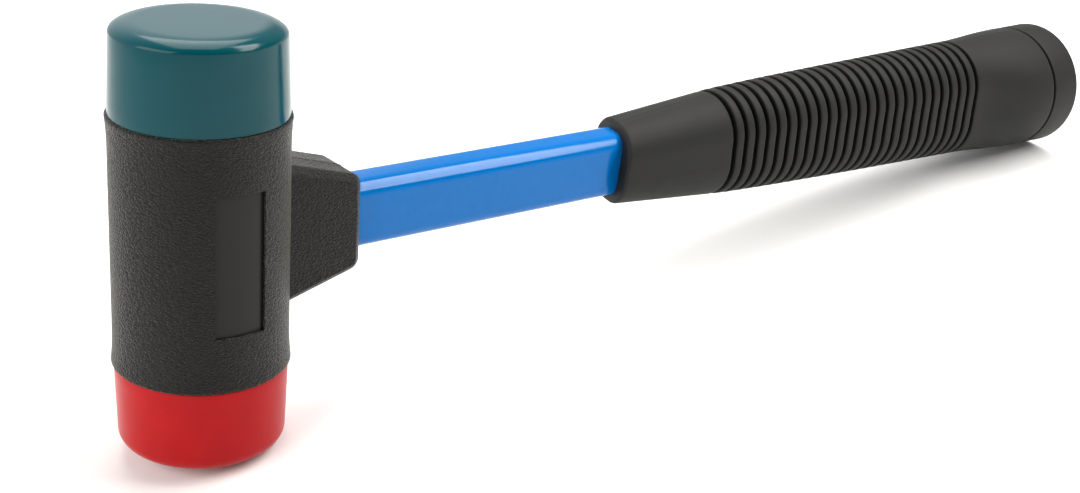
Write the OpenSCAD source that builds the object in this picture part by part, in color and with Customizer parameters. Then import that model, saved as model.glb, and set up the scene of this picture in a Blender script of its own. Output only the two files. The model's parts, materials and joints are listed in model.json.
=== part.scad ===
// Soft face hammer with two screw-in faces, a moulded head, a flat-sided steel tube and a ribbed grip.
// It lies as it is put down on a bench: on the rim of the red face and the end of the grip.
// Lengths are millimetres. The pieces are drawn on the hammer's own axes, with the head along Z,
// the handle along +X and the two crossing at the origin, and laid() then sets them down on Z = 0.

/* [Head jacket] */
// Length of the moulded jacket along the head
jacket_len = 59; // [52:0.5:80]
// Diameter of the jacket at its waist
jacket_d = 39.8; // [37:0.2:48]
// How far the lip at each end stands out from the waist
lip_flare = 0.4; // [0.2:0.1:1.2]
// Length over which a lip flares out
lip_len = 7; // [4:0.5:12]
// Round on the outer edge of a lip
lip_edge_r = 0.5; // [0.2:0.1:1]
// Wall of the jacket around the core
jacket_wall = 3.2; // [2.4:0.1:4.5]
// Width of the bare recess on the near side
recess_w = 12; // [8:0.5:18]
// Height of the recess
recess_h = 33; // [20:0.5:40]
// Depth of the recess
recess_depth = 0.8; // [0.4:0.1:1.5]

/* [Jacket boss] */
// Reach of the boss from the head's axis
boss_reach = 37; // [30:0.2:50]
// Height of the boss where it leaves the head
boss_root_h = 33.6; // [28:0.2:44]
// Wall of the boss above and below the tube at its end
boss_wall_h = 2.8; // [2:0.1:5]
// Wall of the boss beside the tube
boss_wall_w = 2.8; // [2.4:0.1:5]
// Bevel along the edges of the boss
boss_bevel = 1.8; // [0.5:0.1:2.2]
// Round on the end corners of the boss
boss_corner_r = 3; // [1:0.5:5]

/* [Faces] */
// Diameter of a face where it meets the jacket
face_d = 39.5; // [37:0.1:48]
// Diameter that a face tapers to at its striking end
face_end_d = 38.1; // [34:0.1:46]
// Height of a face beyond the jacket
face_h = 20.2; // [15:0.2:30]
// Width of the soft round on the rim of the teal face
teal_rim_w = 5.8; // [1:0.2:8]
// Height of the soft round on the rim of the teal face
teal_rim_h = 2.4; // [1:0.2:6]
// Round on the rim of the red face
red_rim_r = 3.6; // [1:0.2:6]
// Length of the spigot that enters the jacket and bears on the core
spigot_len = 3; // [2:0.5:5]

/* [Studs and washers] */
// Outer diameter of a stud's thread
stud_d = 12; // [8:0.5:14]
// Diameter of the stud's head, moulded into the face
stud_head_d = 22; // [16:0.5:26]
// Thickness of the stud's head
stud_head_t = 4; // [2:0.5:6]
// Depth of the stud's head inside the face, past the spigot
stud_head_depth = 3; // [2:0.5:5]
// Steel left between a tapped hole and the handle socket
socket_web = 4; // [3:0.5:7]
// Spare depth of a tapped hole past its stud
tap_spare = 1.5; // [1:0.25:2.5]
// Outer diameter of a spring washer
washer_d = 21; // [17:0.5:24]
// Thickness of a spring washer
washer_t = 2.5; // [1.5:0.25:3.5]
// Gap across the split of a spring washer
washer_split = 1.2; // [0.6:0.2:2]

/* [Handle tube] */
// Height of the tube's section, along the head
tube_h = 16.8; // [14:0.2:20]
// Width of the tube's section, across the flat sides
tube_w = 12.4; // [10:0.2:15]
// Outer radius of the tube's corners
tube_r = 4; // [2.5:0.1:5]
// Wall of the tube
tube_wall = 1.5; // [1:0.1:2]
// How far the tube runs past the head's axis, inside the core
tube_past = 10; // [8.5:0.5:12]
// Diameter of the two spring pins that cross the core and the tube
pin_d = 5; // [3:0.5:6]
// Wall of a rolled spring pin
pin_wall = 1; // [0.5:0.1:1.2]
// Distance between the two pins along the tube
pin_spacing = 10; // [8:0.5:12]

/* [Grip] */
// Distance of the grip's mouth from the head's axis
grip_start = 118.5; // [90:0.5:140]
// Length of the smooth collar from the mouth to the first groove
collar_len = 35; // [20:0.5:50]
// Number of grooves around the grip
groove_count = 26; // [10:1:32]
// Spacing of the grooves
groove_pitch = 4; // [3.2:0.1:5]
// Width of a groove at the surface
groove_w = 1.8; // [1:0.1:2.4]
// Depth of a groove
groove_depth = 1.3; // [0.4:0.1:1.6]
// Length of the flare from the last groove to the seam of the cap
flare_len = 31.8; // [20:0.2:45]
// Rubber above and below the tube at the mouth
mouth_wall_h = 2.4; // [1.8:0.1:4]
// Rubber beside the tube at the mouth
mouth_wall_w = 4.3; // [2:0.1:6]
// Rubber above and below the tube at the first groove
first_wall_h = 6.2; // [4:0.1:8]
// Rubber beside the tube at the first groove
first_wall_w = 5.4; // [4:0.1:7]
// Rubber above and below the tube at the last groove
last_wall_h = 9.4; // [6:0.1:11]
// Rubber beside the tube at the last groove
last_wall_w = 6.7; // [5:0.1:9]
// How much rounder the grip's corners are than the tube's, at the mouth
mouth_round = 4.4; // [0.5:0.1:5]
// Diameter of the flared end at the seam
flare_d = 37.8; // [34:0.2:46]
// Round on the edge of the mouth
mouth_edge_r = 1.2; // [0.4:0.1:1.6]
// Slant of the mouth across the handle, seen from above
mouth_slant_w = 13.5; // [0:0.5:20]
// Slant of the mouth up the handle, seen from the side
mouth_slant_h = 4.5; // [0:0.5:10]

/* [Butt cap] */
// Length of the cap beyond the seam
cap_len = 11.6; // [6:0.1:16]
// Largest diameter of the cap
cap_d = 38.2; // [36:0.2:48]
// Round on the end edge of the cap
cap_edge_r = 0.8; // [0.4:0.1:4]
// Round on each side of the seam
seam_r = 0.6; // [0.3:0.1:1]
// Length of the cap's plug inside the tube
plug_len = 14; // [8:0.5:24]
// How far the tube stops short of the seam
tube_short = 12; // [6:0.5:20]

/* [Fits] */
// Clearance between pieces that are fixed to each other
fit = 0.1; // [0.05:0.05:0.2]
// Running clearance of a stud in its tapped hole and of a pin in its hole
run = 0.05; // [0.02:0.01:0.1]
// Play of a spring washer on its stud and in its seat
washer_play = 0.2; // [0.1:0.05:0.4]

/* [Hidden] */

$fn = 96;
corner_steps = 8;
arc_steps = 6;
// How far a cut runs past the surface that it opens
over = 1;

lip_d = jacket_d + 2 * lip_flare;
core_d = jacket_d - 2 * jacket_wall - 2 * fit;
core_len = jacket_len - 2 * spigot_len;
socket_h = tube_h + 2 * fit;
socket_w = tube_w + 2 * fit;
boss_w = tube_w + 2 * fit + 2 * boss_wall_w;
boss_end_h = tube_h + 2 * fit + 2 * boss_wall_h;
face_base = jacket_len / 2 + fit;
tap_floor = socket_h / 2 + socket_web;
stud_tip = tap_floor + tap_spare;
washer_seat = core_len / 2 - washer_t - run;
pin_mid = (core_d / 2 - tube_past) / 2;
pin_x = [pin_mid + pin_spacing / 2, pin_mid - pin_spacing / 2];
pin_len = 2 * sqrt(pow(core_d / 2, 2) - pow(pin_x[0] + pin_d / 2, 2));
first_groove = grip_start + collar_len;
last_groove = first_groove + (groove_count - 1) * groove_pitch;
seam_x = last_groove + flare_len;
cap_end = seam_x + fit + cap_len;
tube_end = seam_x - tube_short;

// Rest pose: the floor is the common tangent of the red rim's round and the cap's edge round
face_slope = atan2((face_d - face_end_d) / 2, face_h);
function rim_centre(rim_w, rim_h) = [
    face_d / 2 - (face_h - rim_h) * tan(face_slope) - norm([rim_w, rim_h * tan(face_slope)]),
    face_base + face_h - rim_h
];
red_foot = [rim_centre(red_rim_r, red_rim_r)[0], -rim_centre(red_rim_r, red_rim_r)[1]];
cap_foot = [cap_end - cap_edge_r, -(cap_d / 2 - cap_edge_r)];
foot_gap = cap_foot - red_foot;
rest_tilt = atan2(foot_gap[1], foot_gap[0]) - asin((cap_edge_r - red_rim_r) / norm(foot_gap));
floor_z = red_foot[1] * cos(rest_tilt) - red_foot[0] * sin(rest_tilt) - red_rim_r;
low_x = -red_foot[0] * cos(rest_tilt) + red_foot[1] * sin(rest_tilt) - red_rim_r;
high_x = cap_foot[0] * cos(rest_tilt) - cap_foot[1] * sin(rest_tilt) + cap_edge_r;

module laid() {
    translate([-(low_x + high_x) / 2, 0, -floor_z]) rotate([0, rest_tilt, 0]) children();
}

// Points of an oval arc from angle a to angle b around c, and of a round one
function oval_arc(c, rx, ry, a, b) =
    [for (i = [0:arc_steps]) let (t = a + (b - a) * i / arc_steps) c + [rx * cos(t), ry * sin(t)]];
function arc(c, r, a, b) = oval_arc(c, r, r, a, b);

// Closed outline of a rectangle with rounded corners, which is a circle where w = h = 2r
function outline(w, h, r) = [
    for (k = [0:3], j = [0:corner_steps - 1])
        let (t = 90 * (k + (j + 0.5) / corner_steps))
        [(k % 3 == 0 ? 1 : -1) * (w / 2 - r) + r * cos(t), (k < 2 ? 1 : -1) * (h / 2 - r) + r * sin(t)]
];

// Straight bar of that section along the handle, from x = a to x = b
module bar(a, b, w, h, r) {
    translate([a, 0, 0]) rotate([90, 0, 90]) linear_extrude(b - a) polygon(outline(w, h, r));
}

// The tube's own section, grown by an offset
module tube_bar(a, b, grow) {
    bar(a, b, tube_w + 2 * grow, tube_h + 2 * grow, tube_r + grow);
}

// Waisted jacket, whose lip at each end flares out along a parabola and has a rounded edge
function lip_profile() = concat(
    [for (i = [0:arc_steps - 1]) let (t = i / arc_steps)
        [jacket_d / 2 + lip_flare * t * t, jacket_len / 2 - lip_edge_r - lip_len * (1 - t)]],
    arc([lip_d / 2 - lip_edge_r, jacket_len / 2 - lip_edge_r], lip_edge_r, 0, 90)
);

module jacket_body() {
    lip = lip_profile();
    rotate_extrude() polygon(concat(
        [[0, -jacket_len / 2]],
        [for (i = [len(lip) - 1:-1:0]) [lip[i][0], -lip[i][1]]],
        lip,
        [[0, jacket_len / 2]]
    ));
}

// Side view of the boss, drawn in by an inset
module boss_side(inset) {
    root_x = sqrt(pow(jacket_d / 2, 2) - pow(boss_w / 2, 2));
    slope = (boss_root_h - boss_end_h) / 2 / (boss_reach - root_x);
    start_x = jacket_d / 2 - jacket_wall;
    start_h = boss_root_h / 2 + (root_x - start_x) * slope;
    round_r = boss_corner_r;
    offset(delta = -inset) hull() {
        translate([start_x - boss_bevel, -start_h]) square([boss_bevel, 2 * start_h]);
        for (side = [-1, 1])
            translate([boss_reach - round_r, side * (boss_end_h / 2 + slope * round_r - round_r)])
                circle(round_r, $fn = 32);
    }
}

module boss() {
    flat_w = boss_w - 2 * boss_bevel;
    hull() {
        rotate([90, 0, 0]) linear_extrude(flat_w, center = true) boss_side(0);
        rotate([90, 0, 0]) linear_extrude(boss_w, center = true) boss_side(boss_bevel);
    }
}

module recess() {
    difference() {
        translate([-recess_w / 2, -lip_d, -recess_h / 2]) cube([recess_w, lip_d, recess_h]);
        cylinder(h = recess_h + 2 * over, d = jacket_d - 2 * recess_depth, center = true);
    }
}

module head_jacket() {
    color("#333331") laid() difference() {
        union() {
            jacket_body();
            boss();
        }
        cylinder(h = jacket_len + 2 * over, d = jacket_d - 2 * jacket_wall, center = true);
        tube_bar(0, boss_reach + over, fit);
        recess();
    }
}

// Steel core: a socket for the tube, two pin holes and a tapped hole with a washer seat at each end
module head_core() {
    chamfer = 1;
    color("#8d9093") laid() difference() {
        rotate_extrude() polygon([
            [0, -core_len / 2], [core_d / 2 - chamfer, -core_len / 2], [core_d / 2, -core_len / 2 + chamfer],
            [core_d / 2, core_len / 2 - chamfer], [core_d / 2 - chamfer, core_len / 2], [0, core_len / 2]
        ]);
        tube_bar(-tube_past - fit, core_d, fit);
        for (x = pin_x) pin_hole(x);
        for (end = [0, 180]) rotate([end, 0, 0]) {
            translate([0, 0, tap_floor]) cylinder(h = core_len, d = stud_d + 2 * run);
            translate([0, 0, washer_seat]) cylinder(h = core_len, d = washer_d + 2 * washer_play);
        }
    }
}

module pin_hole(x) {
    translate([x, 0, 0]) rotate([90, 0, 0]) cylinder(h = 2 * core_d, d = pin_d + 2 * run, center = true);
}

module handle_tube() {
    color("#1f6fc4") laid() difference() {
        tube_bar(-tube_past, tube_end, 0);
        tube_bar(-tube_past - over, tube_end + over, -tube_wall);
        for (x = pin_x) pin_hole(x);
    }
}

// Rolled spring pin with its open slot
module spring_pin(x) {
    color("#9a9da0") laid() translate([x, 0, 0]) rotate([90, 0, 0]) difference() {
        cylinder(h = pin_len, d = pin_d, center = true);
        cylinder(h = pin_len + 2 * over, d = pin_d - 2 * pin_wall, center = true);
        translate([0, -pin_wall / 2, -pin_len]) cube([pin_d, pin_wall, 2 * pin_len]);
    }
}

module front_pin() spring_pin(pin_x[0]);

module rear_pin() spring_pin(pin_x[1]);

// Width, height and corner radius of the grip, as named sections that it blends between. The mouth is
// rounder than the tube, up to a full arch, and the ribs have flat sides under a full arch
function wrap(wall_w, wall_h) = [tube_w + 2 * wall_w, tube_h + 2 * wall_h];
function arched(size) = [size[0], size[1], min(size) / 2];
mouth_arch = arched(wrap(mouth_wall_w, mouth_wall_h));
mouth_size = [mouth_arch[0], mouth_arch[1], min(mouth_arch[2], tube_r + mouth_round)];
first_size = arched(wrap(first_wall_w, first_wall_h));
last_size = arched(wrap(last_wall_w, last_wall_h));
flare_size = [flare_d, flare_d, flare_d / 2];

// The ribbed part swells quickly at first. Along the flare the height starts slowly and runs out level,
// while the width and the corners turn into a circle along an S
swell = 0.7;
rise = 1.5;
function flare_share(t) = let (s = (1 - cos(180 * t)) / 2) [s, pow(sin(90 * t), rise), s];
function grip_size(x) =
    x < first_groove ? mouth_size + (first_size - mouth_size) * (x - grip_start) / collar_len :
    x < last_groove ? first_size + (last_size - first_size)
        * pow((x - first_groove) / (last_groove - first_groove), swell) :
    let (share = flare_share((x - last_groove) / flare_len))
    [for (i = [0:2]) last_size[i] + (flare_size[i] - last_size[i]) * share[i]];

// Outline placed at x, where the mouth's slant fades out along the collar
function placed(x, points) = let (fade = max(0, 1 - (x - grip_start) / collar_len))
    [for (p = points) [x + fade * (p[0] * tan(mouth_slant_w) + p[1] * tan(mouth_slant_h)), p[0], p[1]]];

// One ring of the grip at x, sunk below the surface by a depth
function grip_ring(x, depth) = let (s = grip_size(x))
    placed(x, outline(s[0] - 2 * depth, s[1] - 2 * depth, s[2] - depth));

// Stations along the grip as [x, depth]: the mouth's round, the grooves, the flare and the seam's round
collar_rings = 5;
flare_rings = 8;
grip_stations = concat(
    [for (p = arc([mouth_edge_r, 0], mouth_edge_r, 180, 90)) [grip_start + p[0], mouth_edge_r - p[1]]],
    [for (i = [1:collar_rings - 1]) [grip_start + collar_len * i / collar_rings, 0]],
    [for (i = [0:groove_count - 1], side = [-1, -0.4, 0.4, 1])
        [first_groove + i * groove_pitch + side * groove_w / 2, abs(side) < 1 ? groove_depth : 0]],
    [for (i = [1:flare_rings - 1]) [last_groove + flare_len * i / flare_rings, 0]],
    [for (p = arc([-seam_r, 0], seam_r, 90, 0)) [seam_x + p[0], seam_r - p[1]]]
);

// Rubber sleeve as one loft: the outer rings in order, then the bore's two ends
module grip() {
    sides = 4 * corner_steps;
    rings = len(grip_stations);
    bore = outline(socket_w, socket_h, tube_r + fit);
    function corner(ring, k) = ring * sides + k % sides;
    function wall(a, b, flip) = [
        for (k = [0:sides - 1], half = [0, 1])
            let (t = half == 0 ? [corner(a, k), corner(a, k + 1), corner(b, k)]
                               : [corner(a, k + 1), corner(b, k + 1), corner(b, k)])
            flip ? [t[2], t[1], t[0]] : t
    ];
    color("#383836") laid() polyhedron(
        points = concat(
            [for (s = grip_stations) each grip_ring(s[0], s[1])],
            [for (x = [grip_start, seam_x]) each placed(x, bore)]
        ),
        faces = concat(
            [for (i = [0:rings - 2]) each wall(i, i + 1, true)],
            wall(rings, rings + 1, false),
            wall(0, rings, false),
            wall(rings - 1, rings + 1, true)
        )
    );
}

// Butt cap: a round end, a neck that fills the grip's bore and a plug in the tube
module butt_cap() {
    lip = seam_r;
    color("#353533") laid() union() {
        rotate([0, 90, 0]) rotate_extrude() polygon(concat(
            [[0, seam_x + fit]],
            arc([flare_d / 2 - lip, seam_x + fit + lip], lip, -90, 0),
            arc([cap_d / 2 - cap_edge_r, cap_end - cap_edge_r], cap_edge_r, 0, 90),
            [[0, cap_end]]
        ));
        tube_bar(tube_end + fit, seam_x + over, 0);
        tube_bar(tube_end - plug_len, seam_x, -tube_wall - fit);
    }
}

// Face: a tapered puck with a rounded rim, a spigot and a pocket moulded round the stud's head
module face(rim_w, rim_h) {
    seat = core_len / 2 + run;
    neck_r = stud_d / 2 + fit;
    head_low = face_base + stud_head_depth - fit;
    head_high = head_low + stud_head_t + 2 * fit;
    head_r = stud_head_d / 2 + fit;
    spigot_r = jacket_d / 2 - jacket_wall - 2 * fit;
    rim_start = atan2(rim_h * tan(face_slope), rim_w);
    rotate_extrude() polygon(concat(
        [[neck_r, seat], [spigot_r, seat], [spigot_r, face_base], [face_d / 2, face_base]],
        oval_arc(rim_centre(rim_w, rim_h), rim_w, rim_h, rim_start, 90),
        [[0, face_base + face_h], [0, head_high]],
        [[head_r, head_high], [head_r, head_low], [neck_r, head_low]]
    ));
}

// Threaded stud with its moulded-in head, left plain at the thread's outer diameter
module stud() {
    tip = 1;
    head_low = face_base + stud_head_depth;
    rotate_extrude() polygon([
        [0, stud_tip], [stud_d / 2 - tip, stud_tip], [stud_d / 2, stud_tip + tip], [stud_d / 2, head_low],
        [stud_head_d / 2, head_low], [stud_head_d / 2, head_low + stud_head_t], [0, head_low + stud_head_t]
    ]);
}

// Split spring washer in its seat on the core
module washer() {
    difference() {
        translate([0, 0, core_len / 2 - washer_t]) cylinder(h = washer_t, d = washer_d);
        cylinder(h = core_len, d = stud_d + 2 * washer_play);
        translate([0, -washer_split / 2, 0]) cube([washer_d, washer_split, core_len]);
    }
}

module teal_face() color("#1f5f66") laid() face(teal_rim_w, teal_rim_h);

module teal_stud() color("#a3a6a9") laid() stud();

module teal_washer() color("#a9a391") laid() washer();

module red_face() color("#c0272b") laid() rotate([180, 0, 0]) face(red_rim_r, red_rim_r);

module red_stud() color("#a3a6a9") laid() rotate([180, 0, 0]) stud();

module red_washer() color("#a9a391") laid() rotate([180, 0, 0]) washer();

head_jacket();
head_core();
handle_tube();
front_pin();
rear_pin();
grip();
butt_cap();
teal_face();
teal_stud();
teal_washer();
red_face();
red_stud();
red_washer();
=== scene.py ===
"""Soft face hammer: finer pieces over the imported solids, their finishes and a plain studio."""

import json
import math

import bmesh
import bpy
from bpy.props import FloatProperty, FloatVectorProperty, IntProperty, PointerProperty
from mathutils import Matrix, Quaternion, Vector


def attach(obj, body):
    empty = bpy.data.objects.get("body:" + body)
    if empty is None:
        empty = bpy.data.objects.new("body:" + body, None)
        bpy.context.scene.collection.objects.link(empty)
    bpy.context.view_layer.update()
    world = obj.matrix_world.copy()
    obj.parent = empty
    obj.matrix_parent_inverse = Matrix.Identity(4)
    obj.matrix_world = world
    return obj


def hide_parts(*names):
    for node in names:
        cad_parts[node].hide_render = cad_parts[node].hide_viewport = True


bl_info = {
    "name": "Soft Face Hammer",
    "version": (1, 0, 0),
    "blender": (4, 5, 0),
    "location": "View3D > Sidebar > Hammer",
    "description": "Builds a soft face hammer's pieces, finishes and studio on its packed solids",
    "category": "Object",
}

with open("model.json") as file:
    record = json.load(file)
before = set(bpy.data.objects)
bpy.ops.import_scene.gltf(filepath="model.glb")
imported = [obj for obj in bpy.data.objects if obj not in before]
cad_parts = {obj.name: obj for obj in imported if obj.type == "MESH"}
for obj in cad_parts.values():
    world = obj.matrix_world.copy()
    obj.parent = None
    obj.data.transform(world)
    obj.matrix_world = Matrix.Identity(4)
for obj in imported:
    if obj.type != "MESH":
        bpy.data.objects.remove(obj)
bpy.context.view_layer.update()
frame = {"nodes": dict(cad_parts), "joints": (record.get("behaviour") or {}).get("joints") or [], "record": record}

MM = 0.001
LATHE_STEPS = 160
# Half the width of the ridge where a mould's halves met
RIDGE_FOOT = 0.22 * MM
# Where on a pattern a colour's darkest and lightest shades are reached
SHADE_SPOTS = (0.3, 0.7)
# How much whiter the floor looks than the light on it makes it
FLOOR_LIFT = 0.03


def hammer_axes():
    """Matrix from the hammer's own axes to the shared frame: head along Z, handle along X."""
    turn = next(j for j in frame["joints"] if j["name"] == "teal_face_turn")
    hold = next(m for m in frame["record"]["mounts"] if m["name"] == "grip_hold")
    up, along = Vector(turn["axis"]), Vector(hold["axis"])
    axes = Matrix((along, up.cross(along), up)).transposed().to_4x4()
    return Matrix.Translation(turn["pos_m"]) @ axes


HAMMER = hammer_axes()


def linear(code):
    """Linear colour of an sRGB hex value."""
    shares = [int(code[i:i + 2], 16) / 255 for i in (1, 3, 5)]
    return [c / 12.92 if c <= 0.04045 else ((c + 0.055) / 1.055) ** 2.4 for c in shares]


WHITE = [*linear("#ffffff"), 1]


def size(mm, name, note):
    """A length whose default is given in millimetres."""
    return FloatProperty(name=name, description=note, default=mm * MM, unit="LENGTH", precision=4)


def angle(degrees, name, note):
    """An angle whose default is given in degrees."""
    return FloatProperty(name=name, description=note, default=math.radians(degrees),
                         subtype="ANGLE")


def paint(code, name, note):
    """A colour whose default is given as sRGB hex."""
    return FloatVectorProperty(name=name, description=note, default=linear(code),
                               subtype="COLOR", min=0, max=1)


class JacketSizes(bpy.types.PropertyGroup):
    """Moulded jacket around the head"""
    length: size(59, "Length", "Length along the head")
    waist: size(39.8, "Waist", "Diameter at the waist")
    bore: size(33.4, "Bore", "Diameter of the bore around the core")
    lip_flare: size(0.4, "Lip flare", "How far a lip stands out from the waist")
    lip_length: size(7, "Lip length", "Length over which a lip flares out")
    lip_round: size(0.5, "Lip round", "Round on the outer edge of a lip")
    recess_width: size(12, "Recess width", "Width of the bare recess")
    recess_height: size(33, "Recess height", "Height of the bare recess")
    recess_depth: size(0.8, "Recess depth", "Depth of the bare recess")
    boss_reach: size(37, "Boss reach", "Reach of the boss from the head's axis")
    boss_root: size(33.6, "Boss root", "Height of the boss where it leaves the head")
    boss_end: size(22.6, "Boss end", "Height of the boss at its end")
    boss_width: size(18.2, "Boss width", "Width of the boss across the tube")
    boss_bevel: size(1.8, "Boss bevel", "Bevel along the edges of the boss")
    boss_corner: size(3, "Boss corner", "Round on the end corners of the boss")
    parting: size(0.1, "Parting ridge", "Height of the ridge where the mould's halves met")


class TubeSizes(bpy.types.PropertyGroup):
    """Flat-sided steel tube of the handle"""
    width: size(12.4, "Width", "Width across the flat sides")
    height: size(16.8, "Height", "Height of the section along the head")
    corner: size(4, "Corner", "Outer radius of the corners")
    wall: size(1.5, "Wall", "Wall of the tube")
    start: size(-10, "Start", "Where the tube starts, from the head's axis")
    end: size(273.3, "End", "Where the tube ends, from the head's axis")
    socket: size(0.1, "Socket fit", "Clearance of the sockets around the tube")
    pin_hole: size(5.1, "Pin hole", "Diameter of the holes for the spring pins")
    first_pin: size(8.3, "First pin", "Place of the first pin from the head's axis")
    pin_spacing: size(10, "Pin spacing", "Distance between the two pins")


class GripSizes(bpy.types.PropertyGroup):
    """Rubber sleeve with its collar, ribs and flared end"""
    start: size(118.5, "Start", "Distance of the mouth from the head's axis")
    collar: size(35, "Collar", "Length of the smooth collar to the first groove")
    grooves: IntProperty(name="Grooves", description="Number of grooves", default=26, min=2)
    pitch: size(4, "Pitch", "Spacing of the grooves")
    depth: size(1.5, "Groove depth", "Depth of a groove")
    flare: size(31.8, "Flare", "Length from the last groove to the seam")
    mouth_width: size(21, "Mouth width", "Width at the mouth")
    mouth_height: size(21.6, "Mouth height", "Height at the mouth")
    mouth_corner: size(8.4, "Mouth corner", "Radius of the corners at the mouth")
    slant_across: angle(13.5, "Slant across", "Slant of the mouth seen from above")
    slant_up: angle(4.5, "Slant up", "Slant of the mouth seen from the side")
    first_width: size(23.2, "First width", "Width at the first groove")
    first_height: size(29.2, "First height", "Height at the first groove")
    last_width: size(25.8, "Last width", "Width at the last groove")
    last_height: size(35.6, "Last height", "Height at the last groove")
    flare_diameter: size(37.8, "Flare diameter", "Diameter at the seam")
    mouth_round: size(1.2, "Mouth round", "Round on the edge of the mouth")
    seam_round: size(0.6, "Seam round", "Round on each side of the seam")
    parting: size(0.06, "Parting ridge", "Height of the ridge where the mould's halves met")


class CapSizes(bpy.types.PropertyGroup):
    """Butt cap behind the seam"""
    length: size(11.2, "Length", "Length beyond the seam")
    diameter: size(38.2, "Diameter", "Largest diameter")
    edge: size(0.8, "Edge round", "Round on the end edge")
    seam: size(0.5, "Seam", "Gap between the grip and the cap")
    plug: size(14, "Plug", "Length of the plug inside the tube")


class FaceSizes(bpy.types.PropertyGroup):
    """Striking faces with their studs and washers"""
    base: size(29.6, "Base", "Height of a face's base from the handle's axis")
    height: size(20.2, "Height", "Height of a face beyond the jacket")
    diameter: size(39.5, "Diameter", "Diameter where a face meets the jacket")
    end_diameter: size(38.1, "End diameter", "Diameter that a face tapers to")
    teal_rim_width: size(5.8, "Teal rim width", "Width of the soft round on the teal face's rim")
    teal_rim_height: size(2.4, "Teal rim height", "Height of the soft round on the teal face's rim")
    red_rim: size(3.6, "Red rim", "Round on the rim of the red face")
    spigot: size(33.0, "Spigot", "Diameter of the spigot inside the jacket")
    seat: size(26.55, "Seat", "Height of the spigot's end from the handle's axis")
    stud: size(12, "Stud", "Outer diameter of the stud's thread")
    pitch: size(1.75, "Thread pitch", "Pitch of the right-hand thread")
    stud_tip: size(14, "Stud tip", "Height of the stud's tip from the handle's axis")
    stud_head: size(22, "Stud head", "Diameter of the stud's moulded-in head")
    head_low: size(32.6, "Head base", "Height of the stud head's underside")
    head_thick: size(4, "Head thickness", "Thickness of the stud's head")
    head_fit: size(0.1, "Head fit", "Gap of the pocket around the stud's head")
    washer: size(21, "Washer", "Outer diameter of a spring washer")
    washer_bore: size(12.4, "Washer bore", "Hole of a spring washer")
    washer_thick: size(2.5, "Washer thickness", "Thickness of a spring washer")
    washer_top: size(26.5, "Washer top", "Height of a washer's outer side")
    washer_split: size(1.2, "Washer split", "Gap across the split of a washer")


class Colours(bpy.types.PropertyGroup):
    """Colours of the pieces, the floor and the lamps"""
    jacket: paint("#1b1b19", "Jacket", "Black elastomer of the jacket")
    grip: paint("#171717", "Grip", "Black rubber of the grip and cap")
    # Painted shade: a blacker rubber laid on the grooves' walls and floors and beside the seam, where shade falls
    groove: paint("#0d0d0d", "Grooves", "Shadowed rubber in the grooves")
    teal: paint("#034851", "Teal face", "Teal plastic of the upper face")
    red: paint("#b50c12", "Red face", "Red plastic of the lower face")
    tube: paint("#0072c5", "Tube", "Blue enamel of the tube")
    steel: paint("#b8b9ba", "Steel", "Turned steel of the core, studs and pins")
    spring: paint("#8f8a82", "Spring steel", "Hardened steel of the washers")
    floor: paint("#e6e6e4", "Floor", "Matt white board of the floor")
    lamp: paint("#fffdf8", "Lamps", "Slightly warm white of the softboxes")


class StageSettings(bpy.types.PropertyGroup):
    """Camera and light"""
    place: FloatVectorProperty(name="Camera", description="Place of the camera",
                               default=(-0.27432, -0.31336, 0.20928), subtype="TRANSLATION")
    aim: FloatVectorProperty(name="Aim", description="Point at the middle of the picture",
                             default=(-0.04203, 0, 0.02004), subtype="TRANSLATION")
    roll: angle(-1.065, "Roll", "Tilt of the picture about its middle")
    lens: FloatProperty(name="Lens", description="Focal length for a 36 mm wide picture",
                        default=54.957, unit="CAMERA")
    bright: FloatProperty(name="Pale wall", description="Strength of the room behind the hammer",
                          default=1.05, min=0)
    dim: FloatProperty(name="Dim room", description="Strength of the room on the camera's side",
                       default=0.06, min=0)
    floor_size: size(1900, "Floor", "Length of the floor's sides")


class HammerSettings(bpy.types.PropertyGroup):
    """All sizes and colours of the hammer"""
    jacket: PointerProperty(type=JacketSizes, name="Jacket", description="Sizes of the jacket")
    tube: PointerProperty(type=TubeSizes, name="Tube", description="Sizes of the handle's tube")
    grip: PointerProperty(type=GripSizes, name="Grip", description="Sizes of the grip")
    cap: PointerProperty(type=CapSizes, name="Cap", description="Sizes of the butt cap")
    face: PointerProperty(type=FaceSizes, name="Faces", description="Sizes of the faces")
    colours: PointerProperty(type=Colours, name="Colours", description="Colours of the pieces")
    stage: PointerProperty(type=StageSettings, name="Stage", description="Camera and light")


# Shapes

def spread(start, end, steps):
    """Values at even steps from start to end, both included."""
    return [start + (end - start) * i / steps for i in range(steps + 1)]


def arc(centre, radius, start, end, steps):
    """Points of an arc around centre, between two angles in degrees."""
    turns = [math.radians(turn) for turn in spread(start, end, steps)]
    return [(centre[0] + radius * math.cos(t), centre[1] + radius * math.sin(t)) for t in turns]


def outline(width, height, corner, ridge=0.0, steps=22):
    """Closed loop of a rounded rectangle in (y, z), a circle where both sides are two corners long.
    A ridge lifts a narrow line at the middle of its top and bottom."""
    points = []
    for quarter in range(4):
        side = 1 if quarter in (0, 3) else -1
        top = 1 if quarter < 2 else -1
        half = 90 / steps / 2
        points += arc((side * (width / 2 - corner), top * (height / 2 - corner)), corner,
                      90 * quarter + half, 90 * quarter + 90 - half, steps - 1)
        if quarter in (0, 2):
            points += [(top * foot, top * (height / 2 + lift))
                       for foot, lift in ((RIDGE_FOOT, 0), (0, ridge), (-RIDGE_FOOT, 0))]
    return points


def tube_section(tube, grow=0.0):
    """Section of the handle's tube in (y, z), grown or shrunk all around."""
    return outline(tube.width + 2 * grow, tube.height + 2 * grow, tube.corner + grow)


def station(x, loop):
    """A loop of (y, z) set across the handle at x."""
    return [(x, y, z) for y, z in loop]


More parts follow.
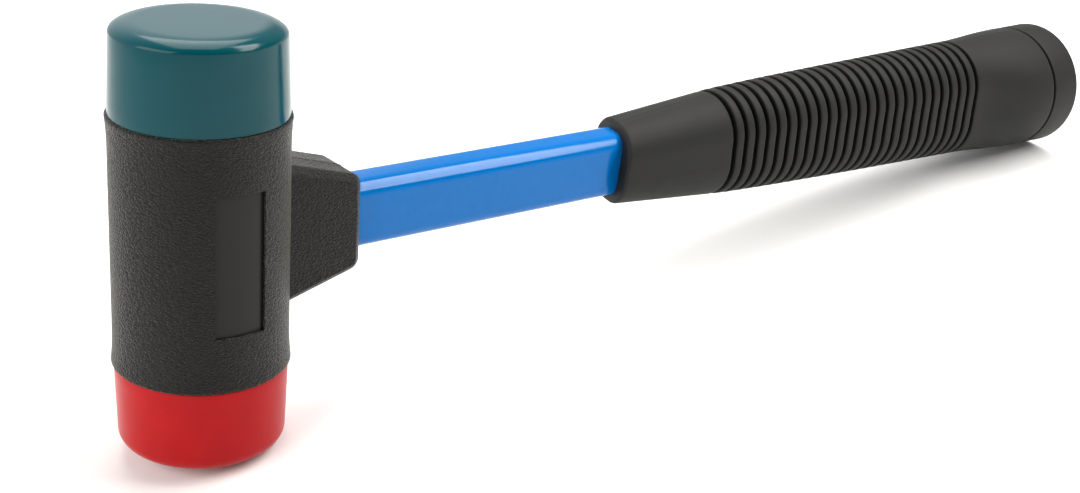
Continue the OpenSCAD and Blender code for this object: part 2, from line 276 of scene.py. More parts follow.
def lathe(profile, steps=LATHE_STEPS):
    """Rings of a profile of (radius, height) turned about the head's axis."""
    turns = [math.tau * i / steps for i in range(steps)]
    return [[(r * math.cos(t), r * math.sin(t), z) for t in turns] if r > 0 else [(0, 0, z)]
            for r, z in profile]


def skin(rings, closed=False, capped=False):
    """Mesh through rings of equal length. A ring of one point is a pole."""
    bm = bmesh.new()
    rows = [[bm.verts.new(point) for point in ring] for ring in rings]
    pairs = list(zip(rows, rows[1:])) + ([(rows[-1], rows[0])] if closed else [])
    for first, second in pairs:
        count = max(len(first), len(second))
        for i in range(count if count > 1 else 0):
            corners = (first[i % len(first)], first[(i + 1) % len(first)],
                       second[(i + 1) % len(second)], second[i % len(second)])
            bm.faces.new(list(dict.fromkeys(corners)))
    if capped:
        bm.faces.new(rows[0])
        bm.faces.new(rows[-1])
    bmesh.ops.recalc_face_normals(bm, faces=bm.faces)
    return bm


def new_object(name, bm):
    """Object on the hammer's axes that holds a finished mesh."""
    mesh = bpy.data.meshes.new(name)
    bm.to_mesh(mesh)
    bm.free()
    made = bpy.data.objects.new(name, mesh)
    bpy.context.scene.collection.objects.link(made)
    made.matrix_world = HAMMER
    return made


def join_solid(body, bm, operation):
    """Adds a solid to a piece or cuts it away, and keeps only the result."""
    tool = new_object("tool", bm)
    change = body.modifiers.new("solid", "BOOLEAN")
    change.operation, change.object, change.solver = operation, tool, "EXACT"
    graph = bpy.context.evaluated_depsgraph_get()
    before, body.data = body.data, bpy.data.meshes.new_from_object(body.evaluated_get(graph))
    body.modifiers.clear()
    bpy.data.meshes.remove(before)
    spare = tool.data
    bpy.data.objects.remove(tool)
    bpy.data.meshes.remove(spare)
    if not body.data.polygons:
        raise RuntimeError(f"{body.name} has no faces left")


def drop_slivers(made):
    """Merges the doubled points and drops the faces without area that the cuts leave."""
    reach = 0.002 * MM
    bm = bmesh.new()
    bm.from_mesh(made.data)
    bmesh.ops.remove_doubles(bm, verts=bm.verts, dist=reach)
    wide = [face for face in bm.faces if len(face.verts) > 4]
    bmesh.ops.triangulate(bm, faces=wide, ngon_method="BEAUTY")
    bmesh.ops.dissolve_degenerate(bm, edges=bm.edges, dist=reach)
    bm.to_mesh(made.data)
    bm.free()


def finish_piece(made, body, node, slot, *materials, sharp=35):
    """Smooths a piece, gives it its materials and lets it stand for a node on a body."""
    for material in materials:
        made.data.materials.append(material)
    made.data.shade_smooth()
    made.data.set_sharp_from_angle(angle=math.radians(sharp))
    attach(made, body)
    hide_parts(node)
    return made


# Materials

def add_node(tree, kind, inputs=None, **settings):
    """Adds a node with its settings. Each input takes a value or the socket that feeds it."""
    made = tree.nodes.new(kind)
    for name, value in settings.items():
        setattr(made, name, value)
    for key, value in (inputs or {}).items():
        if isinstance(value, bpy.types.NodeSocket):
            tree.links.new(value, made.inputs[key])
        else:
            made.inputs[key].default_value = value
    return made


def new_material(name, **values):
    """Principled material and the sockets that its pattern needs."""
    material = bpy.data.materials.new(name)
    material.use_nodes = True
    tree = material.node_tree
    shader = tree.nodes["Principled BSDF"]
    for key, value in values.items():
        shader.inputs[key.replace("_", " ")].default_value = value
    place = add_node(tree, "ShaderNodeTexCoord").outputs["Object"]
    return material, tree, shader, place


def per_metre(mm):
    """Scale of a pattern that repeats every so many millimetres."""
    return 1 / (mm * MM)


def surface(tree, shader, pattern, relief=None, colour=None, shades=None, rough=None, span=(0, 1)):
    """Lets a pattern drive what is given of a surface: its relief, as a strength and a depth in
    millimetres, its colour, from a darker to a lighter shade, and its roughness over a span."""
    if relief:
        strength, depth = relief
        bump = add_node(tree, "ShaderNodeBump",
                        {"Height": pattern, "Strength": strength, "Distance": depth * MM})
        tree.links.new(bump.outputs[0], shader.inputs["Normal"])
    if shades:
        ramp = add_node(tree, "ShaderNodeValToRGB", {"Fac": pattern})
        for element, level, spot in zip(ramp.color_ramp.elements, shades, SHADE_SPOTS):
            element.color = [min(1, c * level) for c in colour] + [1]
            element.position = spot
        tree.links.new(ramp.outputs["Color"], shader.inputs["Base Color"])
    if rough:
        blur = add_node(tree, "ShaderNodeMapRange", {
            "Value": pattern, "From Min": span[0], "From Max": span[1],
            "To Min": rough[0], "To Max": rough[1]})
        tree.links.new(blur.outputs[0], shader.inputs["Roughness"])


def grained_elastomer(colour):
    """Moulded elastomer off a mould etched with a leather grain: dull, and each pebble of the
    grain has a lit and a shaded side, so steep light makes it sparkle."""
    material, tree, shader, place = new_material(
        "Moulded elastomer, leather grain", Specular_IOR_Level=0.2, Sheen_Weight=0.24,
        Sheen_Roughness=0.4, Sheen_Tint=[*linear("#fffcf3"), 1])
    # The pebbles are about 0.55 mm wide and flattened along the head
    flat = add_node(tree, "ShaderNodeMapping", {"Vector": place, "Scale": (1, 1, 1.7)}).outputs[0]
    stir = add_node(tree, "ShaderNodeTexNoise",
                    {"Vector": flat, "Scale": per_metre(1.2), "Detail": 3}).outputs["Color"]
    # The noise bends their rows by up to 0.4 mm
    bent = add_node(tree, "ShaderNodeMix", {0: 0.4 * MM, 4: flat, 5: stir},
                    data_type="VECTOR").outputs[1]
    pebbles = add_node(tree, "ShaderNodeTexVoronoi", {"Vector": bent, "Scale": per_metre(0.55)},
                       feature="SMOOTH_F1").outputs["Distance"]
    wrinkles = add_node(tree, "ShaderNodeTexNoise",
                        {"Vector": flat, "Scale": per_metre(0.9), "Detail": 4}).outputs["Fac"]
    height = add_node(tree, "ShaderNodeMath", {0: wrinkles, 1: pebbles},
                      operation="SUBTRACT").outputs[0]
    # The colour follows the grain's height, as painted shade down in the pits and painted light on the pebbles'
    # tops
    surface(tree, shader, height, relief=(1, 0.28), colour=colour, shades=(0.55, 1.35),
            rough=(0.65, 0.3), span=(-0.3, 0.4))
    return material


def smooth_elastomer(colour):
    """The same elastomer off a polished patch of the mould: even, with a soft low sheen."""
    material, tree, shader, place = new_material("Moulded elastomer, smooth", Roughness=0.42,
                                                 Specular_IOR_Level=0.22)
    haze = add_node(tree, "ShaderNodeTexNoise",
                    {"Vector": place, "Scale": per_metre(3), "Detail": 3}).outputs["Fac"]
    surface(tree, shader, haze, relief=(0.15, 0.05), colour=colour, shades=(0.97, 1.03))
    return material


def moulded_rubber(name, colour, gloss):
    """Matt rubber off a blasted mould: a broad dull sheen, a very fine tooth and a trace of dust.
    A second, blacker copy of it is painted shade in the grip's grooves and at its seam."""
    material, tree, shader, place = new_material(name, Specular_IOR_Level=gloss)
    # The tooth is about 0.1 mm, drawn at 0.3 mm so that it shows at all
    tooth = add_node(tree, "ShaderNodeTexNoise",
                     {"Vector": place, "Scale": per_metre(0.3), "Detail": 2}).outputs["Fac"]
    surface(tree, shader, tooth, relief=(0.25, 0.06))
    dust = add_node(tree, "ShaderNodeTexNoise",
                    {"Vector": place, "Scale": per_metre(9), "Detail": 5}).outputs["Fac"]
    surface(tree, shader, dust, colour=colour, shades=(0.94, 1.06), rough=(0.55, 0.66))
    return material


def cast_urethane(colour):
    """Cast polyurethane, turned and polished: deep colour under a wet gloss with slight waves."""
    material, tree, shader, place = new_material("Cast polyurethane, polished",
                                                 Specular_IOR_Level=0.2)
    waves = add_node(tree, "ShaderNodeTexNoise",
                     {"Vector": place, "Scale": per_metre(11), "Detail": 2}).outputs["Fac"]
    surface(tree, shader, waves, relief=(0.1, 0.2), colour=colour, shades=(0.96, 1.04),
            rough=(0.13, 0.18))
    return material


def moulded_nylon(colour):
    """Injection-moulded nylon: a full colour under a soft gloss that blurs what it mirrors."""
    material, tree, shader, place = new_material("Moulded nylon, satin", Specular_IOR_Level=0.16)
    flow = add_node(tree, "ShaderNodeTexNoise",
                    {"Vector": place, "Scale": per_metre(6), "Detail": 4}).outputs["Fac"]
    surface(tree, shader, flow, relief=(0.12, 0.1), colour=colour, shades=(0.95, 1.05),
            rough=(0.26, 0.34))
    return material


def stove_enamel(colour):
    """Stove enamel on steel: an even opaque colour, a clear gloss and the faint ripple of paint."""
    material, tree, shader, place = new_material("Stove enamel on steel", Specular_IOR_Level=0.24)
    ripple = add_node(tree, "ShaderNodeTexNoise",
                      {"Vector": place, "Scale": per_metre(2.2), "Detail": 2}).outputs["Fac"]
    surface(tree, shader, ripple, relief=(0.12, 0.06), colour=colour, shades=(0.97, 1.03),
            rough=(0.09, 0.13))
    return material


def turned_steel(name, colour, rough):
    """Bare steel off a lathe: mirror-like, blurred by fine tool marks that run around it."""
    material, tree, shader, place = new_material(name, Metallic=1)
    # The tool marks are about 0.05 mm apart, drawn at 0.25 mm so that they show at all
    rings = add_node(tree, "ShaderNodeMapping",
                     {"Vector": place, "Scale": (0.1, 0.1, 1)}).outputs[0]
    marks = add_node(tree, "ShaderNodeTexNoise",
                     {"Vector": rings, "Scale": per_metre(0.25), "Detail": 3}).outputs["Fac"]
    surface(tree, shader, marks, relief=(0.15, 0.03), colour=colour, shades=(0.9, 1.1), rough=rough)
    return material


def direct_looks(tree):
    """Socket that is 1 for what looks at a surface directly, in a mirror or through glass."""
    path = add_node(tree, "ShaderNodeLightPath").outputs
    looks = path["Is Camera Ray"]
    for way in ("Is Glossy Ray", "Is Transmission Ray"):
        looks = add_node(tree, "ShaderNodeMath", {0: looks, 1: path[way]},
                         operation="MAXIMUM").outputs[0]
    return looks


def white_board(colour):
    """Matt white board: no sheen and a faint mottle. What looks at it directly or in a mirror sees
    it whiter, so that it is white away from the shadow."""
    material, tree, shader, place = new_material(
        "White board, matt", Roughness=0.9, Specular_IOR_Level=0.1, Emission_Color=WHITE)
    mottle = add_node(tree, "ShaderNodeTexNoise",
                      {"Vector": place, "Scale": per_metre(30), "Detail": 2}).outputs["Fac"]
    dull, clean = ([c * level for c in colour] + [1] for level in (0.9875, 1.0125))
    mottled = add_node(tree, "ShaderNodeMix", {0: mottle, 6: dull, 7: clean},
                       data_type="RGBA").outputs[2]
    looks = direct_looks(tree)
    seen = add_node(tree, "ShaderNodeMix", {0: looks, 6: mottled, 7: WHITE},
                    data_type="RGBA").outputs[2]
    tree.links.new(seen, shader.inputs["Base Color"])
    lift = add_node(tree, "ShaderNodeMath", {0: looks, 1: FLOOR_LIFT},
                    operation="MULTIPLY").outputs[0]
    tree.links.new(lift, shader.inputs["Emission Strength"])
    return material


# Operators

class HAMMER_OT_jacket(bpy.types.Operator):
    """Build the grained jacket with its boss, socket and bare recess"""
    bl_idname = "hammer.jacket"
    bl_label = "Head jacket"

    # How near to the recess's floor a face lies that belongs to it
    FLOOR_REACH = 0.1 * MM
    # How far inside the bore the boss starts, to be cut off by it
    BOSS_START = 2 * MM
    # Round on the edges of the boss, and its points as shares of it: past the edge, and drawn in
    EDGE = 0.35 * MM
    EDGE_POINTS = ((-1, 0), (-0.2, 0.12), (0.6, 0.6))

    def execute(self, context):
        hammer = context.scene.soft_face_hammer
        s, tube, colour = hammer.jacket, hammer.tube, hammer.colours.jacket
        made = new_object("head_jacket_moulding", skin(lathe(self.profile(s))))
        join_solid(made, self.boss(s), "UNION")
        r, end = s.bore / 2, s.length
        join_solid(made, skin(lathe([(0, -end), (r, -end), (r, end), (0, end)])), "DIFFERENCE")
        socket = tube_section(tube, tube.socket)
        join_solid(made, skin([station(x, socket) for x in (0, 2 * s.boss_reach)], capped=True),
                   "DIFFERENCE")
        join_solid(made, self.recess(s), "DIFFERENCE")
        drop_slivers(made)
        finish_piece(made, "hammer", "head_jacket", "jacket_black",
                     grained_elastomer(colour), smooth_elastomer(colour))
        floor_r = s.waist / 2 - s.recess_depth
        for face in made.data.polygons:
            x, y, z = face.center
            near = abs(math.hypot(x, y) - floor_r) < self.FLOOR_REACH
            if near and y < 0 and abs(x) < s.recess_width / 2 and abs(z) < s.recess_height / 2:
                face.material_index = 1
        return {"FINISHED"}

    def profile(self, s):
        """Outer profile of the waisted jacket, from the lower to the upper end."""
        steps = 12
        top = s.length / 2
        lip = [(s.waist / 2 + s.lip_flare * (i / steps) ** 2,
                top - s.lip_round - s.lip_length * (1 - i / steps)) for i in range(steps)]
        lip += arc((s.waist / 2 + s.lip_flare - s.lip_round, top - s.lip_round), s.lip_round,
                   0, 90, steps=6)
        return [(0, -top), *[(r, -z) for r, z in reversed(lip)], *lip, (0, top)]

    def boss(self, s):
        """Tapered boss as side outlines that draw in towards its two flat sides."""
        root_x = math.sqrt(s.waist ** 2 - s.boss_width ** 2) / 2
        slope = (s.boss_root - s.boss_end) / 2 / (s.boss_reach - root_x)
        lean = math.atan(slope)
        centre = (s.boss_reach - s.boss_corner, s.boss_end / 2 + (slope - 1) * s.boss_corner)
        start_x = s.bore / 2 - self.BOSS_START

        def side(y, inset):
            top = arc(centre, s.boss_corner - inset, 0, 90 - math.degrees(lean), steps=10)
            rise = top[-1][1] + (top[-1][0] - start_x) * slope
            half = [*top, (start_x, rise)]
            return [(x, y, z) for x, z in [*half, *[(x, -z) for x, z in reversed(half)]]]

        bevel, soft = s.boss_bevel, self.EDGE
        outer = s.boss_width / 2
        flat = outer - bevel
        levels = [(RIDGE_FOOT, 0)]
        levels += [(flat + soft * a, soft * b) for a, b in self.EDGE_POINTS]
        levels += [(outer - soft * b, bevel - soft * a) for a, b in reversed(self.EDGE_POINTS)]
        near = [side(-y, inset) for y, inset in reversed(levels)]
        far = [side(y, inset) for y, inset in levels]
        return skin([*near, side(0, -s.parting), *far], capped=True)

    def recess(self, s):
        """Block that cuts the recess down to an even floor."""
        half, floor_r = s.recess_width / 2, s.waist / 2 - s.recess_depth
        edge = math.degrees(math.asin(half / floor_r))
        loop = [*arc((0, 0), floor_r, -90 - edge, -90 + edge, steps=24),
                (half, -s.waist), (-half, -s.waist)]
        return skin([[(x, y, z) for x, y in loop]
                     for z in (-s.recess_height / 2, s.recess_height / 2)], capped=True)


class HAMMER_OT_core(bpy.types.Operator):
    """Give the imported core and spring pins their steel"""
    bl_idname = "hammer.core"
    bl_label = "Core and pins"

    def execute(self, context):
        colours = context.scene.soft_face_hammer.colours
        steel = turned_steel("Turned steel", colours.steel, rough=(0.22, 0.36))
        for node in ("head_core", "front_pin", "rear_pin"):
            materials = frame["nodes"][node].data.materials
            materials.clear()
            materials.append(steel)
        return {"FINISHED"}


class HAMMER_OT_tube(bpy.types.Operator):
    """Build the enamelled tube with its round corners, bore and pin holes"""
    bl_idname = "hammer.tube"
    bl_label = "Handle tube"

    # Sections along the tube, and points around a pin hole
    SECTIONS, HOLE_POINTS = 12, 32

    def execute(self, context):
        hammer = context.scene.soft_face_hammer
        s = hammer.tube
        outer, inner = tube_section(s), tube_section(s, -s.wall)
        spots = spread(s.start, s.end, self.SECTIONS)
        rings = [station(x, outer) for x in spots] + [station(x, inner) for x in reversed(spots)]
        made = new_object("handle_tube_enamelled", skin(rings, closed=True))
        last_turn = 360 - 360 / self.HOLE_POINTS
        for pin in (s.first_pin, s.first_pin - s.pin_spacing):
            rim = arc((pin, 0), s.pin_hole / 2, 0, last_turn, steps=self.HOLE_POINTS - 1)
            hole = [[(x, y, z) for x, z in rim] for y in (-s.width, s.width)]
            join_solid(made, skin(hole, capped=True), "DIFFERENCE")
        finish_piece(made, "hammer", "handle_tube", "tube_blue", stove_enamel(hammer.colours.tube))
        return {"FINISHED"}


class HAMMER_OT_grip(bpy.types.Operator):
    """Build the ribbed rubber grip and its butt cap"""
    bl_idname = "hammer.grip"
    bl_label = "Grip and cap"

    # How deep the groove is, as a share, at a distance from its middle in millimetres
    GROOVE = ((0.3, 1.0), (0.5, 0.95), (0.62, 0.75), (0.7, 0.48), (0.78, 0.22), (0.9, 0.07),
              (1.08, 0.015), (1.3, 0.0))
    # Share of the depth below which a groove's walls and floor get the painted shade
    SHADE_DEPTH = 0.3
    # How far out of the seam the painted shade reaches
    SEAM_SHADE = 0.3 * MM
    # How the sections blend along the grip, as in the part's source
    SWELL, RISE = 0.7, 1.5
    # Sections along the collar, the flare and the bore
    COLLAR_SECTIONS, FLARE_SECTIONS, BORE_SECTIONS = 12, 24, 8
    # Rings on the cap's flat end, as shares of its radius
    END_RINGS = (0.4, 0.8)

    def execute(self, context):
        hammer = context.scene.soft_face_hammer
        s, cap, tube = hammer.grip, hammer.cap, hammer.tube
        rubber = moulded_rubber("Moulded rubber, blasted", hammer.colours.grip, gloss=0.3)
        # A blacker copy of the rubber, as painted shade for the grooves and the seam
        shade_rubber = moulded_rubber("Moulded rubber, shade_painted", hammer.colours.groove, gloss=0.15)
        bore = tube_section(tube, tube.socket)
        first = s.start + s.collar
        last = first + (s.grooves - 1) * s.pitch
        seam = last + s.flare
        outer = [self.ring(s, x, depth, first, last)
                 for x, depth in self.stations(s, first, last, seam)]
        inner = [self.placed(s, x, bore) for x in spread(seam, s.start, self.BORE_SECTIONS)]
        made = new_object("grip_sleeve", skin(outer + inner, closed=True))
        finish_piece(made, "hammer", "grip", "grip_rubber", rubber, shade_rubber)
        self.darken_grooves(made, s, first, last)
        # Painted shade on the grip's side of the seam
        self.darken(made, seam - self.SEAM_SHADE, seam)
        made = new_object("butt_cap_end", skin(self.cap_rings(s, cap, tube, seam)))
        finish_piece(made, "hammer", "butt_cap", "grip_rubber", rubber, shade_rubber)
        # Painted shade on the cap's side of the seam
        self.darken(made, seam + cap.seam, seam + cap.seam + self.SEAM_SHADE)
        return {"FINISHED"}

    def darken_grooves(self, made, s, first, last):
        """Gives the walls and floors of the grooves the blacker rubber, as painted shade."""
        reach = next(d for d, share in self.GROOVE if share < self.SHADE_DEPTH) * MM
        for i in range(s.grooves):
            middle = first + i * s.pitch
            self.darken(made, middle - reach, middle + reach)

    def darken(self, made, start, end):
        """Gives the faces between two places along the handle the blacker rubber, as painted shade."""
        for face in made.data.polygons:
            if start <= face.center.x <= end:
                face.material_index = 1

    def stations(self, s, first, last, seam):
        """Places along the grip with the depth below its surface."""
        spots = [(s.start + s.mouth_round + x, s.mouth_round - y)
                 for x, y in arc((0, 0), s.mouth_round, 180, 90, steps=8)]
        reach = self.GROOVE[-1][0] * MM
        spots += [(x, 0) for x in spread(s.start, first - reach, self.COLLAR_SECTIONS)[1:-1]]
        for i in range(s.grooves):
            middle = first + i * s.pitch
            spots += [(middle - d * MM, s.depth * share) for d, share in reversed(self.GROOVE)]
            spots += [(middle + d * MM, s.depth * share) for d, share in self.GROOVE]
        spots += [(x, 0) for x in spread(last + reach, seam, self.FLARE_SECTIONS)[1:-1]]
        return spots + [(seam - s.seam_round + x, s.seam_round - y)
                        for x, y in arc((0, 0), s.seam_round, 90, 0, steps=6)]

    def ring(self, s, x, depth, first, last):
        """One ring of the grip at x, sunk by a depth."""
        mouth = (s.mouth_width, s.mouth_height, s.mouth_corner)
        ribs = (s.first_width, s.first_height, s.first_width / 2)
        full = (s.last_width, s.last_height, s.last_width / 2)
        end = (s.flare_diameter, s.flare_diameter, s.flare_diameter / 2)
        if x < first:
            shares, low, high = 3 * [(x - s.start) / s.collar], mouth, ribs
        elif x < last:
            shares, low, high = 3 * [((x - first) / (last - first)) ** self.SWELL], ribs, full
        else:
            t = min(1, (x - last) / s.flare)
            turn = (1 - math.cos(math.pi * t)) / 2
            shares, low, high = (turn, math.sin(math.pi / 2 * t) ** self.RISE, turn), full, end
        w, h, r = (a + (b - a) * share for a, b, share in zip(low, high, shares))
        return self.placed(s, x, outline(w - 2 * depth, h - 2 * depth, r - depth, s.parting))

    def placed(self, s, x, loop):
        """A loop set across the handle at x, where the mouth's slant fades out along the collar."""
        fade = max(0, 1 - (x - s.start) / s.collar)
        across, up = fade * math.tan(s.slant_across), fade * math.tan(s.slant_up)
        return [(x + y * across + z * up, y, z) for y, z in loop]

    def cap_rings(self, s, cap, tube, seam):
        """Rings of the cap from the middle of its end, round its edge and on to the plug."""
        near, end, edge = seam + cap.seam, seam + cap.seam + cap.length, s.seam_round
        face = [(end, cap.diameter / 2 * share) for share in self.END_RINGS]
        face += [(end - cap.edge + x, cap.diameter / 2 - cap.edge + y)
                 for x, y in arc((0, 0), cap.edge, 0, 90, steps=8)]
        face += [(near + edge + x, s.flare_diameter / 2 - edge + y)
                 for x, y in arc((0, 0), edge, 90, 180, steps=6)]
        rings = [[(end, 0, 0)]] + [station(x, outline(2 * r, 2 * r, r)) for x, r in face]
        neck, plug = tube_section(tube), tube_section(tube, -(tube.wall + tube.socket))
        rings += [station(x, neck) for x in (near, tube.end + tube.socket)]
        rings += [station(x, plug) for x in (tube.end + tube.socket, tube.end - cap.plug)]
        return rings + [[(tube.end - cap.plug, 0, 0)]]


class HAMMER_OT_faces(bpy.types.Operator):
    """Build the two striking faces with their threaded studs and spring washers"""
    bl_idname = "hammer.faces"
    bl_label = "Faces, studs and washers"

    # Round at a face's foot, steps over its rim and wall, and rings on its flat end as shares
    FOOT = 0.25 * MM
    RIM_STEPS, WALL_STEPS, FLAT_RINGS = 28, 6, (0.8, 0.5, 0.2)
    # Points around the thread, and rows in one pitch
    THREAD_POINTS, THREAD_ROWS = 60, 14
    # Depth and upper run-out of the thread in pitches
    THREAD_DEPTH, RUN_OUT = 0.6134, 0.7
    # Height of the thread's ridge before its crest is cut flat at 1, and its fall over a pitch
    RIDGE_PEAK, RIDGE_FALL = 1.25, 2.6
    # How much thinner the plain shank is than the thread, and how far beyond the thread it starts
    SHANK_FIT, SHANK_START = 0.05 * MM, 0.4 * MM
    # Broken edge of a washer, and steps around it
    WASHER_EDGE, WASHER_STEPS = 0.25 * MM, 96

    def execute(self, context):
        hammer = context.scene.soft_face_hammer
        s, colours = hammer.face, hammer.colours
        plated = turned_steel("Zinc-plated steel", colours.steel, rough=(0.28, 0.42))
        spring = turned_steel("Hardened spring steel", colours.spring, rough=(0.34, 0.5))
        turned = Matrix.Rotation(math.pi, 3, "X")
        teal_rim, red_rim = (s.teal_rim_width, s.teal_rim_height), (s.red_rim, s.red_rim)
        for side, rim, finish in (("teal", teal_rim, cast_urethane(colours.teal)),
                                  ("red", red_rim, moulded_nylon(colours.red))):
            for name, bm, body, slot, material in (
                    ("face_puck", self.puck(s, rim), "face", f"face_{side}", finish),
                    ("stud_thread", self.stud(s), "face", "steel", plated),
                    ("washer_ring", self.washer(s), "washer", "steel", spring)):
                if side == "red":
                    bmesh.ops.rotate(bm, verts=bm.verts, matrix=turned)
                made = new_object(f"{side}_{name}", bm)
                node = f"{side}_{name.split('_')[0]}"
                finish_piece(made, f"{side}_{body}", node, slot, material)
        return {"FINISHED"}

    def puck(self, s, rim):
        """Tapered puck with a round rim, a spigot and the pocket around the stud's head."""
        top = s.base + s.height
        taper = (s.diameter - s.end_diameter) / 2 / s.height
        wide, tall = rim
        mid_r = s.diameter / 2 - (s.height - tall) * taper - math.hypot(wide, tall * taper)
        neck, head = s.stud / 2 + s.head_fit, s.stud_head / 2 + s.head_fit
        low, high = s.head_low - s.head_fit, s.head_low + s.head_thick + s.head_fit
        foot = arc((s.diameter / 2 - self.FOOT, s.base + self.FOOT), self.FOOT, -90, 0, steps=4)
        turns = spread(math.atan2(tall * taper, wide), math.pi / 2, self.RIM_STEPS)
        edge = [(mid_r + wide * math.cos(t), top - tall + tall * math.sin(t)) for t in turns]
        wall = zip(*(spread(a, b, self.WALL_STEPS)[1:-1] for a, b in zip(foot[-1], edge[0])))
        flat = [(mid_r * share, top) for share in self.FLAT_RINGS]
        return skin(lathe([(neck, s.seat), (s.spigot / 2, s.seat), (s.spigot / 2, s.base), *foot,
                           *wall, *edge, *flat, (0, top), (0, high), (head, high), (head, low),
                           (neck, low)]), closed=True)

    def stud(self, s):
        """Stud with a right-hand thread, cut as a ridge that climbs one pitch a turn."""
        steps = self.THREAD_POINTS
        root = s.stud / 2 - self.THREAD_DEPTH * s.pitch
        thread_end = s.washer_top
        count = round((thread_end - s.stud_tip) / s.pitch * self.THREAD_ROWS)
        rings = [[(0, 0, s.stud_tip)]]
        for z in spread(s.stud_tip, thread_end, count):
            lead = min(1, (z - s.stud_tip) / s.pitch, (thread_end - z) / s.pitch / self.RUN_OUT)
            ring = []
            for i in range(steps):
                t = math.tau * i / steps
                phase = ((z - s.stud_tip) / s.pitch - i / steps) % 1
                ridge = min(1, max(0, self.RIDGE_PEAK - self.RIDGE_FALL * abs(phase - 0.5)))
                r = root + (s.stud / 2 - root) * ridge * lead
                ring.append((r * math.cos(t), r * math.sin(t), z))
            rings.append(ring)
        shank, head = s.stud / 2 - self.SHANK_FIT, s.stud_head / 2
        low, high = s.head_low, s.head_low + s.head_thick
        plain = [(shank, thread_end + self.SHANK_START), (shank, low), (head, low), (head, high),
                 (0, high)]
        return skin(rings + lathe(plain, steps))

    def washer(self, s):
        """Split ring with broken edges, its gap towards the handle."""
        edge = self.WASHER_EDGE
        inner, outer, top = s.washer_bore / 2, s.washer / 2, s.washer_top
        low = top - s.washer_thick
        section = [(inner + edge, low), (outer - edge, low),
                   (outer, low + edge), (outer, top - edge),
                   (outer - edge, top), (inner + edge, top),
                   (inner, top - edge), (inner, low + edge)]
        gap = math.asin(s.washer_split / (inner + outer))
        return skin([[(r * math.cos(t), r * math.sin(t), z) for r, z in section]
                     for t in spread(gap, math.tau - gap, self.WASHER_STEPS)], capped=True)


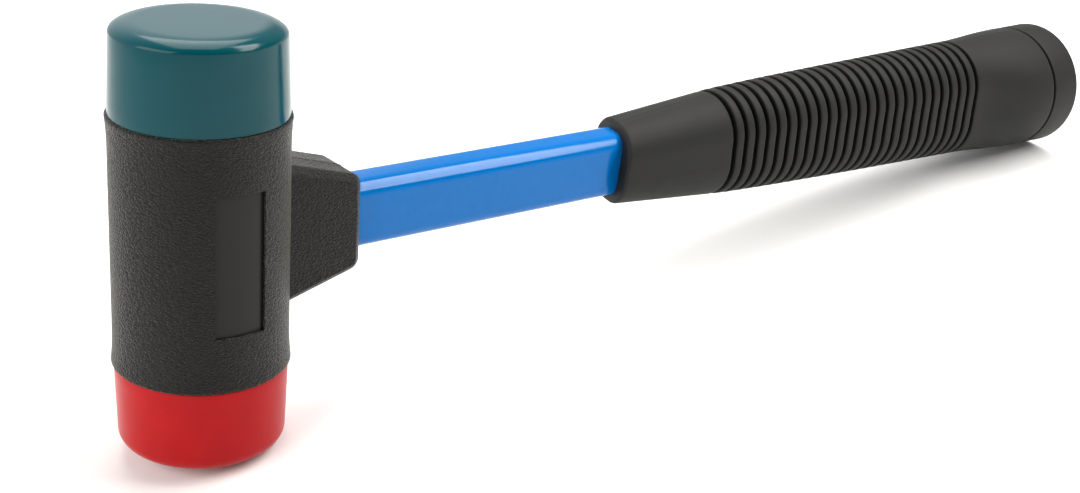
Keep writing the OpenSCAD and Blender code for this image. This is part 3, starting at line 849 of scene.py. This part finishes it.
class HAMMER_OT_stage(bpy.types.Operator):
    """Set up the floor, the soft light and the camera"""
    bl_idname = "hammer.stage"
    bl_label = "Stage"

    # Each softbox: name, place, direction of its length, length, width and power in watts
    SOFTBOXES = (
        ("main", (0.72, -0.34, 1.0), (0, 0.93, 0.37), 1.4, 0.42, 20.5),
        ("left", (-1.3, -0.1, 0.8), (0, 1, 0), 1.2, 0.9, 14.5),
        ("back", (0.31, 0.68, 1.41), (-0.36, -0.8, 0.47), 1.5, 0.75, 13.5),
    )
    # How the room's darker right side leans back, as X gained for each Y
    LEAN = 0.7
    # Width of the picture that the lens is given for, in millimetres
    PICTURE = 36
    # Nearest and farthest that the camera sees, in metres
    NEAR, FAR = 0.01, 50

    def execute(self, context):
        scene = context.scene
        hammer = scene.soft_face_hammer
        s = hammer.stage
        scene.view_settings.view_transform = "Standard"
        self.floor(s, hammer.colours.floor)
        self.surroundings(scene, s)
        for name, place, along, length, width, power in self.SOFTBOXES:
            lamp = bpy.data.lights.new(f"softbox_{name}", "AREA")
            lamp.shape, lamp.size, lamp.size_y, lamp.energy = "RECTANGLE", length, width, power
            lamp.color = hammer.colours.lamp
            box = bpy.data.objects.new(lamp.name, lamp)
            back = Vector(place).normalized()
            side = back.cross(Vector(along)).normalized()
            box.matrix_world = Matrix.Translation(place) @ Matrix(
                (side.cross(back), side, back)).transposed().to_4x4()
            scene.collection.objects.link(box)
        self.camera(scene, s)
        return {"FINISHED"}

    def floor(self, s, colour):
        """Square board that the hammer lies on."""
        half = s.floor_size / 2
        mesh = bpy.data.meshes.new("floor")
        mesh.from_pydata([(-half, -half, 0), (half, -half, 0), (half, half, 0), (-half, half, 0)],
                         [], [(0, 1, 2, 3)])
        mesh.materials.append(white_board(colour))
        board = bpy.data.objects.new("floor", mesh)
        bpy.context.scene.collection.objects.link(board)

    def surroundings(self, scene, s):
        """Room that is pale behind the hammer and along the horizon, dim on the camera's side, and
        darker overhead and to the right."""
        world = bpy.data.worlds.new("Studio room")
        world.use_nodes = True
        tree = world.node_tree
        way = add_node(tree, "ShaderNodeTexCoord").outputs["Generated"]
        way = add_node(tree, "ShaderNodeSeparateXYZ", {"Vector": way}).outputs
        right = add_node(tree, "ShaderNodeMath", {0: way["Y"], 1: -self.LEAN, 2: way["X"]},
                         operation="MULTIPLY_ADD").outputs[0]
        # Each fade: the way it runs, where it starts and ends, and its level before and after
        fades = (
            (way["Y"], -0.35, 0.45, s.dim, s.bright),
            (way["Z"], 0.45, 0.95, 1, 0.45),
            (right, -0.1, 0.06, 1, 0.3),
            (way["Z"], 0, 0.03, s.bright, 0),
            (way["Z"], 0.15, 0.17, 1, 0),
        )
        wall, overhead, aside, skirt, low = (
            add_node(tree, "ShaderNodeMapRange", {
                "Value": along, "From Min": start, "From Max": end,
                "To Min": before, "To Max": after}, interpolation_type="SMOOTHSTEP").outputs[0]
            for along, start, end, before, after in fades)
        # What looks along the horizon, directly or in a mirror, sees a white backdrop
        backdrop = add_node(tree, "ShaderNodeMath", {0: low, 1: direct_looks(tree)},
                            operation="MULTIPLY").outputs[0]
        strength = wall
        for level, operation in ((overhead, "MULTIPLY"), (aside, "MULTIPLY"),
                                 (skirt, "MAXIMUM"), (backdrop, "MAXIMUM")):
            strength = add_node(tree, "ShaderNodeMath", {0: strength, 1: level},
                                operation=operation).outputs[0]
        background = tree.nodes["Background"].inputs
        tree.links.new(strength, background["Strength"])
        background["Color"].default_value = WHITE
        scene.world = world

    def camera(self, scene, s):
        """Camera at the photograph's viewing angle."""
        data = bpy.data.cameras.new("camera")
        data.sensor_fit, data.sensor_width, data.lens = "HORIZONTAL", self.PICTURE, s.lens
        data.clip_start, data.clip_end = self.NEAR, self.FAR
        camera = bpy.data.objects.new("camera", data)
        camera.location = s.place
        look = (Vector(s.aim) - Vector(s.place)).to_track_quat("-Z", "Y")
        camera.rotation_euler = (look @ Quaternion((0, 0, 1), s.roll)).to_euler()
        scene.collection.objects.link(camera)
        scene.camera = camera


class HAMMER_PT_build(bpy.types.Panel):
    """Lists the steps that build the hammer"""
    bl_idname = "HAMMER_PT_build"
    bl_label = "Soft Face Hammer"
    bl_space_type = "VIEW_3D"
    bl_region_type = "UI"
    bl_category = "Hammer"

    def draw(self, _context):
        for step in STEPS:
            self.layout.operator(step.bl_idname)


GROUPS = (JacketSizes, TubeSizes, GripSizes, CapSizes, FaceSizes, Colours, StageSettings,
          HammerSettings)
STEPS = (HAMMER_OT_stage, HAMMER_OT_jacket, HAMMER_OT_core, HAMMER_OT_tube, HAMMER_OT_grip,
         HAMMER_OT_faces)


def register():
    for cls in (*GROUPS, *STEPS, HAMMER_PT_build):
        bpy.utils.register_class(cls)
    bpy.types.Scene.soft_face_hammer = PointerProperty(
        type=HammerSettings, name="Soft face hammer", description="Sizes and colours of the hammer")


def unregister():
    del bpy.types.Scene.soft_face_hammer
    for cls in reversed((*GROUPS, *STEPS, HAMMER_PT_build)):
        bpy.utils.unregister_class(cls)


def main():
    register()
    bpy.ops.hammer.stage()
    bpy.ops.hammer.jacket()
    bpy.ops.hammer.core()
    bpy.ops.hammer.tube()
    bpy.ops.hammer.grip()
    bpy.ops.hammer.faces()


if __name__ == "__main__":
    main()
